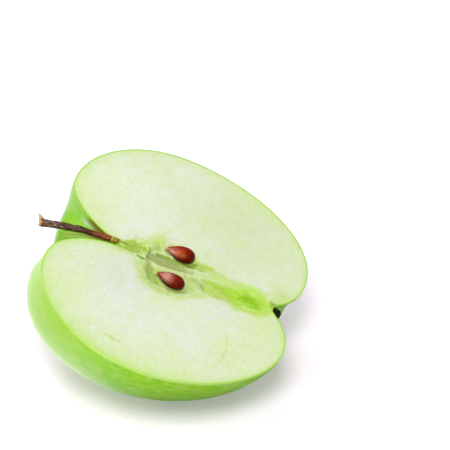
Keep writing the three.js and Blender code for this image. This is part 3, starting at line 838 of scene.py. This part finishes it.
def seedMaterial():
    m = Shader("seed coat")
    place = m.painted("seedPlace", "Vector")
    streaks = m.noise(place, 1.5, 4, 0.65, (0.4, 1.6, 1.6))
    blotch = m.noise(place, 1.1, 3, 0.6, (0.7, 1, 1))
    color = m.coats(
        seedShape,
        ("bodyColor", 1),
        ("darkColor", m.fall(streaks, 0.34, 0.62, 0.45)),
        ("darkColor", m.times(m.painted("shade"), m.remap(blotch, 0.3, 0.65, 1, 0.65))),
        # painted light in the seed's middle
        ("glowColor", m.times(m.painted("glow"), m.remap(blotch, 0.34, 0.58, 0.5, 1))),
        # painted sheen, a highlight in the coat's colour
        ("paintedSheenColor", m.times(m.painted("paintedSheen"), m.remap(streaks, 0.36, 0.58, 0.4, 1))),
        ("tipColor", m.fall(m.painted("fromTip"), 0.01, 0.08, 0.95)),
    )
    normal = m.bump(streaks, 0.25, 0.0001)
    return m.finish(color=color, roughness=0.42, normal=normal, specular=0.09)


stem = {
    "route": [(-14.3, 0.62, 0.25), (-17, 0.58, 0.1), (-20, 0.38, -0.15), (-25, -0.15, -0.4),
              (-30, -1.4, -0.6), (-33.5, -2.25, -0.85), (-35.7, -2.72, -1.0)],
    "footR": 0.7, "middleR": 0.76, "endR": 1.0,
    "foot": 0.09, "widening": (0.4, 0.78),      # where it has them, as shares of its length
    "ridges": (0.05, 0.035), "bark": (0.1, 0.07), "knots": 0.16,        # as shares of the radius
    "twist": 1.4, "footRoughness": 0.25,
    "splinter": 2.15, "splinterLean": (0.9, 0.12),      # how far it goes sideways and onwards
    "torn": 0.22, "slant": 0.25, "slantTurn": 0.8,      # how its broken end is frayed and slopes
    "endGrain": 0.12, "endSink": 0.08, "endTip": 0.1, "footTip": 0.05, "footBulge": 0.12,
    "endRings": (0.9, 0.72, 0.5, 0.28), "footRings": (0.8, 0.4),
    "along": 190, "ring": 56,
    "barkColor": (98, 58, 42), "darkColor": (34, 14, 8), "ridgeColor": (182, 156, 130),
    "baseColor": (148, 72, 8), "baseDarkAndShade": (72, 20, 4), "warmColor": (184, 102, 16),
    "heelColor": (166, 136, 16), "heelDark": (116, 116, 20), "ringColor": (172, 186, 82),
    "woodColor": (236, 196, 108), "woodDark": (196, 142, 62),
}


def curveThrough(stops, count):     # a smooth curve through the stops, evenly spaced
    stops = np.array(stops, float)
    ends = np.vstack([2 * stops[0] - stops[1], stops, 2 * stops[-1] - stops[-2]])
    fine = []
    for k in range(len(stops) - 1):
        a, b, c, d = ends[k:k + 4]
        t = np.linspace(0, 1, 60, endpoint=False)[:, None]
        bend = (3 * (b - c) + d - a) * t + 2 * a - 5 * b + 4 * c - d
        fine.append(b + 0.5 * t * (c - a + t * bend))
    fine = np.vstack([*fine, stops[-1:]])
    length = np.concatenate([[0], np.linalg.norm(np.diff(fine, axis=0), axis=1).cumsum()])
    at = np.linspace(0, length[-1], count)
    return np.column_stack([np.interp(at, length, fine[:, k]) for k in range(3)]), length[-1]


def buildStem(material):
    count = stem["ring"]
    line, length = curveThrough(stem["route"], stem["along"] + 1)
    tangent = unit(np.gradient(line, axis=0))
    side = unit(np.cross((0, 0, 1.0), tangent))
    out = np.cross(tangent, side)
    t = np.linspace(0, 1, stem["along"] + 1)[:, None]
    run = t * length
    angle = np.linspace(0, 2 * math.pi, count, endpoint=False)[None]
    radius = mix(stem["footR"], stem["middleR"], smooth(0, stem["foot"], t))
    radius = radius + (stem["endR"] - stem["middleR"]) * smooth(*stem["widening"], t)
    twist = angle + stem["twist"] * t
    broad, narrow = stem["ridges"]
    ridges = broad * np.cos(3 * twist + 1) + narrow * np.cos(7 * twist + 3 * t)
    coarse, fine = stem["bark"]
    bark = coarse * grain(run / 1.6 + 3, np.cos(twist) * 2.4 + 9, 51)
    bark = bark + fine * grain(run / 0.5 + 8, np.sin(twist) * 3.2 + np.cos(twist) * 3.0 + 20, 52)
    knots = grain(run / 1.1 + 30, np.cos(angle - 0.6) * 1.5 + 31, 53)
    rough = ridges + bark + stem["knots"] * smooth(0.55, 0.9, knots)
    radius = radius * (1 + rough * mix(stem["footRoughness"], 1, smooth(0, 0.35, t)))
    drawn = stem["splinter"] * np.maximum(0, -np.cos(angle)) ** 5 * smooth(0.93, 1, t) ** 1.5
    outDrawn, onDrawn = np.multiply.outer(stem["splinterLean"], drawn)
    slant = stem["slant"] * radius * np.cos(angle - stem["slantTurn"]) * smooth(0.9, 1, t)
    torn = stem["torn"] * grain(angle * 2.2 + 4, 0 * t + 2, 54) * smooth(0.95, 1, t)
    points = (line[:, None] + side[:, None] * (radius * np.cos(angle) - outDrawn)[..., None]
              + out[:, None] * (radius * np.sin(angle))[..., None]
              + tangent[:, None] * (onDrawn + torn - slant)[..., None])
    rings = list(points)
    fromBase = list(run[:, 0])
    wood = list(smooth(0.25, 0.7, drawn))
    # The broken end: rings that shrink to the middle and sink a little, as pale wood.
    for k, share in enumerate(stem["endRings"]):
        sunk = stem["endGrain"] * grain(angle[0] * 3 + k * 2.0, 0 * angle[0], 55)
        sunk = sunk - stem["endSink"] * (k + 1)
        rings.append(mix(points[-1].mean(axis=0), points[-1], share) + tangent[-1] * sunk[:, None])
        fromBase.append(length)
        wood.append(np.ones(count))
    for share in stem["footRings"]:
        bulge = tangent[0] * stem["footBulge"] * (1 - share)
        rings.insert(0, mix(points[0].mean(axis=0), points[0], share) - bulge)
        fromBase.insert(0, 0)
        wood.insert(0, np.zeros(count))
    hubs = [rings[0].mean(axis=0) - tangent[0] * stem["footTip"],
            rings[-1].mean(axis=0) - tangent[-1] * stem["endTip"]]
    flat, faces = ringMesh(rings, hubs)
    turned = np.tile(angle[0], len(rings))
    place = np.column_stack([np.repeat(fromBase, count), np.cos(turned), np.sin(turned)])
    layers = {"stemPlace": np.vstack([place, (0, 0, 0), (length, 0, 0)]),
              "wood": np.concatenate([*wood, (0, 1)])}
    makePiece("stem_bark", flat, faces, material, "stem", layers)


def stemMaterial():
    m = Shader("stem bark")
    place = m.painted("stemPlace", "Vector")
    parts = m.parts(place)
    length, upwards = parts[0], parts[2]
    lines = m.noise(place, 1.7, 5, 0.65, (0.3, 1.8, 1.8))
    flakes = m.noise(place, 1.9, 4, 0.65, (0.6, 1.4, 1.4))
    wander = m.maths("ADD", length, m.remap(lines, 0.3, 0.7, -2.5, 2.5))
    base = m.coats(stem, ("baseDarkAndShade", 1), ("baseColor", m.rise(lines, 0.42, 0.55)))
    heel = m.coats(stem, ("heelDark", 1), ("heelColor", m.rise(length, 0.1, 1.1)))
    splinter = m.coats(stem, ("woodColor", 1), ("woodDark", m.rise(lines, 0.35, 0.65)))
    color = m.coats(
        stem,
        ("darkColor", 1),
        ("barkColor", m.rise(lines, 0.42, 0.54)),
        ("ridgeColor", m.times(m.rise(flakes, 0.5, 0.62), m.remap(length, 7, 15, 0.25, 0.8))),
        (base, m.fall(wander, 6, 12, 0.9)),
        ("warmColor", m.times(m.rise(flakes, 0.45, 0.62, 0.9), m.fall(length, 4, 8))),
        ("baseDarkAndShade", m.times(m.rise(length, 6.4, 8), m.fall(length, 9, 11.5, 0.6))),
        # painted shade: the stem's underside darker, away from the light
        ("baseDarkAndShade", m.times(m.fall(upwards, -0.1, 0.75, 0.95), m.remap(lines, 0.3, 0.6, 1, 0.65))),
        (heel, m.fall(length, 1.5, 2.1, 0.9)),
        ("ringColor", m.times(m.rise(length, 1.5, 1.8), m.fall(length, 1.9, 2.3, 0.8))),
        (splinter, m.painted("wood")),
    )
    normal = m.bump(lines, 0.7, 0.0003)
    normal = m.bump(flakes, 0.6, 0.0003, normal)
    rough = m.remap(flakes, 0.3, 0.7, 0.4, 0.75)
    return m.finish(color=color, roughness=rough, normal=normal, specular=0.4)


calyx = {
    "at": (31.8, 0.0, -1.1), "ringR": 0.75,
    "angles": (-168, -125, -84, -52, -28),      # one sepal at each
    "length": 1.9, "lengths": (0.85, 1.1),      # each one's own share of it
    "width": 1.7, "thickness": 0.5, "root": 0.7,
    "lean": 2, "curl": 9, "wobble": 8,          # degrees
    "narrowing": 0.45, "thinning": 0.4,         # towards its tip
    "crumple": 0.22, "uneven": 0.4,             # of its width and its thickness
    "steps": 16, "corners": 12,
    "hairs": 34, "hairR": 0.045, "hairLength": (1.2, 2.4), "hairRoot": 0.6,
    "hairLean": (-0.2, 0.9), "hairWave": 0.12, "hairThinning": 0.6,
    "hairSteps": 7, "hairCorners": 6,
    "darkColor": (22, 15, 10), "color": (48, 34, 22), "edgeColor": (92, 74, 48),
}


def buildCalyx(material):
    points = []
    faces = []
    place = []
    chance = np.random.default_rng(61)
    origin = np.array(calyx["at"])
    forward = np.array((1.0, 0, 0))

    def outFrom(angle):     # the way out of the ring there, and the way along it
        outwards = np.array((0, math.cos(angle), math.sin(angle)))
        return outwards, np.cross(forward, outwards)

    def addTube(line, widths, thicks, across, corners, number):
        start = len(points)
        for k, middle in enumerate(line):
            tangent = line[min(k + 1, len(line) - 1)] - line[max(k - 1, 0)]
            thin = unit(np.cross(tangent, across))
            for c in range(corners):
                a = 2 * math.pi * c / corners
                points.append(middle + across * widths[k] * math.cos(a) + thin * thicks[k] * math.sin(a))
                place.append((k / len(line), math.cos(a), number))
        faces.extend(tubeFaces(len(line), corners, start))
        faces.append(tuple(start + c for c in reversed(range(corners))))
        faces.append(tuple(len(points) - corners + c for c in range(corners)))

    for number, degrees in enumerate(calyx["angles"]):
        outwards, across = outFrom(math.radians(degrees))
        spine = origin + outwards * calyx["ringR"] - forward * calyx["root"]
        line = []
        length = calyx["length"] * chance.uniform(*calyx["lengths"]) + calyx["root"]
        wobble = chance.uniform(-calyx["wobble"], calyx["wobble"])
        share = np.linspace(0, 1, calyx["steps"])
        for s in share:
            lean = math.radians(calyx["lean"] + calyx["curl"] * s * s + wobble * s)
            line.append(spine)
            spine = spine + (forward * math.cos(lean) + outwards * math.sin(lean)) * length / calyx["steps"]
        crumple = 1 + calyx["crumple"] * grain(share * 5 + number * 7, share * 0 + 3, 62)
        uneven = 1 + calyx["uneven"] * grain(share * 6 + 3, share * 0 + number, 63)
        widths = calyx["width"] / 2 * (1 - calyx["narrowing"] * share ** 3) * crumple
        thicks = calyx["thickness"] / 2 * (1 - calyx["thinning"] * share) * uneven
        addTube(line, widths, thicks, across, calyx["corners"], number)
    for number in range(calyx["hairs"]):       # dry stamens and hairs inside and round the sepals
        outwards, across = outFrom(chance.uniform(0, 2 * math.pi))
        reach = chance.uniform(0.1, 1.0)
        begin = origin + outwards * reach * 0.8 - forward * calyx["hairRoot"]
        length = chance.uniform(*calyx["hairLength"])
        lean = chance.uniform(*calyx["hairLean"]) * reach
        line = []
        share = np.linspace(0, 1, calyx["hairSteps"])
        for s in share:
            bend = lean * s * s + calyx["hairWave"] * math.sin(s * 7 + number)
            line.append(begin + forward * length * s + outwards * bend * length * 0.6)
        widths = calyx["hairR"] * (1 - calyx["hairThinning"] * share)
        addTube(line, widths, widths, across, calyx["hairCorners"], number + 10)
    makePiece("calyx_sepals", np.array(points), faces, material, "calyx", {"sepalPlace": place})


def calyxMaterial():
    m = Shader("dry sepal")
    lines = m.noise(m.painted("sepalPlace", "Vector"), 4, 4, 0.6, (0.4, 2, 1))
    grime = m.noise(m.add("TexCoord").outputs["Object"], 1500, 4, 0.6)
    color = m.coats(calyx, ("darkColor", 1), ("color", m.rise(lines, 0.35, 0.65)),
                    ("edgeColor", m.rise(grime, 0.55, 0.75, 0.5)))
    rough = m.remap(grime, 0.3, 0.7, 0.7, 0.95)
    return m.finish(color=color, roughness=rough, normal=m.bump(lines, 0.5, 0.0002), specular=0.3)


buildHalf(skinMaterial(), fleshMaterial())
coat = seedMaterial()
for seed in seeds:
    buildSeed(seed, coat)
print("seeds built")
buildStem(stemMaterial())
buildCalyx(calyxMaterial())
print("stem and calyx built")


studio = {      # sizes and places in metres
    "floorSize": 6.0, "floorColor": (0.98, 0.86, 1.0), "floorGlow": 0.23,
    "floorBounce": (0.56, 0.6, 0.54),       # how bright the half itself sees the floor
    "floorMirror": (0.4, 0.4, 0.4),         # and how bright its gloss shows it
    "sky": 0.35,
    "lights": {"key": (9.4, 0.35, (0.06, -0.7, 1.0)), "fill": (3.8, 1.0, (-1.2, -0.4, 0.5)),
               "top": (2.0, 0.4, (-0.25, 0.3, 1.0))},       # power, size and place
    "lightAim": (0, 0, 0.03),               # where they all point
    "cardLow": (-0.3, -0.15), "cardHigh": (0.02, 0.1), "cardHeight": 0.0005, "cardGlow": 1.7,
    "cardFade": (-0.042, 0.002),            # where the card fades out under the half
}


def addSheet(name, low, high, height):
    corners = [(low[0], low[1]), (high[0], low[1]), (high[0], high[1]), (low[0], high[1])]
    mesh = bpy.data.meshes.new(name)
    mesh.from_pydata([(x, y, height) for x, y in corners], [], [(0, 1, 2, 3)])
    sheet = addObject(name, mesh)
    return sheet


def buildFloor():
    size = studio["floorSize"] / 2
    floor = addSheet("floor", (-size, -size), (size, size), 0)
    m = Shader("white floor")
    path = m.add("LightPath")
    color = m.blend(path.outputs["Is Diffuse Ray"], studio["floorColor"], studio["floorBounce"])
    color = m.blend(path.outputs["Is Glossy Ray"], color, studio["floorMirror"])
    glow = m.times(path.outputs["Is Camera Ray"], studio["floorGlow"])
    floor.data.materials.append(m.finish(color=color, roughness=0.9, specular=0.1, glowColor=(1, 1, 1, 1),
                                         glow=glow))


def buildCard():        # lies left of the half, and only the half's gloss shows it
    card = addSheet("card", studio["cardLow"], studio["cardHigh"], studio["cardHeight"])
    card.visible_camera = False
    card.visible_diffuse = False
    card.visible_shadow = False
    m = Shader("white card")
    across = m.parts(m.add("TexCoord").outputs["Object"])[0]
    glow = m.fall(across, *studio["cardFade"], studio["cardGlow"])
    card.data.materials.append(m.finish(color=(0.2, 0.2, 0.2, 1), roughness=0.9, glowColor=(1, 1, 1, 1),
                                        glow=glow))


def addSoftLight(name, power, size, place):
    light = bpy.data.lights.new(name, "AREA")
    light.energy = power
    light.size = size
    lamp = addObject(name, light)
    lamp.location = place
    lamp.rotation_euler = (Vector(studio["lightAim"]) - Vector(place)).to_track_quat("-Z", "Y").to_euler()


def buildSky():
    world = bpy.data.worlds.new("studio")
    world.use_nodes = True
    background = world.node_tree.nodes["Background"]
    background.inputs[0].default_value = (1, 1, 1, 1)
    background.inputs[1].default_value = studio["sky"]
    bpy.context.scene.world = world


# The camera looks at the fruit's middle from one metre, down to it and a little from the right.
eye = {
    "azimuth": 9, "elevation": 38, "distance": 1000, "lens": 300.1, "sensor": 36, "nearest": 0.05,
    "shiftRight": -15.46, "shiftUp": -10.44,        # mm that the fruit lies off the view's middle
}


def buildCamera():
    azimuth = math.radians(eye["azimuth"])
    elevation = math.radians(eye["elevation"])
    right = Vector((math.cos(azimuth), math.sin(azimuth), 0))
    back = Matrix.Rotation(azimuth, 3, "Z") @ Vector((0, -math.cos(elevation), math.sin(elevation)))
    up = back.cross(right)
    place = Vector(fruitPlace) + back * eye["distance"] - right * eye["shiftRight"] - up * eye["shiftUp"]
    data = bpy.data.cameras.new("eye")
    data.lens = eye["lens"]
    data.sensor_width = eye["sensor"]
    data.clip_start = eye["nearest"]
    camera = addObject("eye", data)
    turn = Matrix((right, up, back)).transposed().to_4x4()
    camera.matrix_world = Matrix.Translation(place * millimetre) @ turn
    bpy.context.scene.camera = camera


buildFloor()
buildCard()
for name, light in studio["lights"].items():
    addSoftLight(name, *light)
buildSky()
buildCamera()
bpy.context.scene.view_settings.view_transform = "Standard"
print("studio ready")
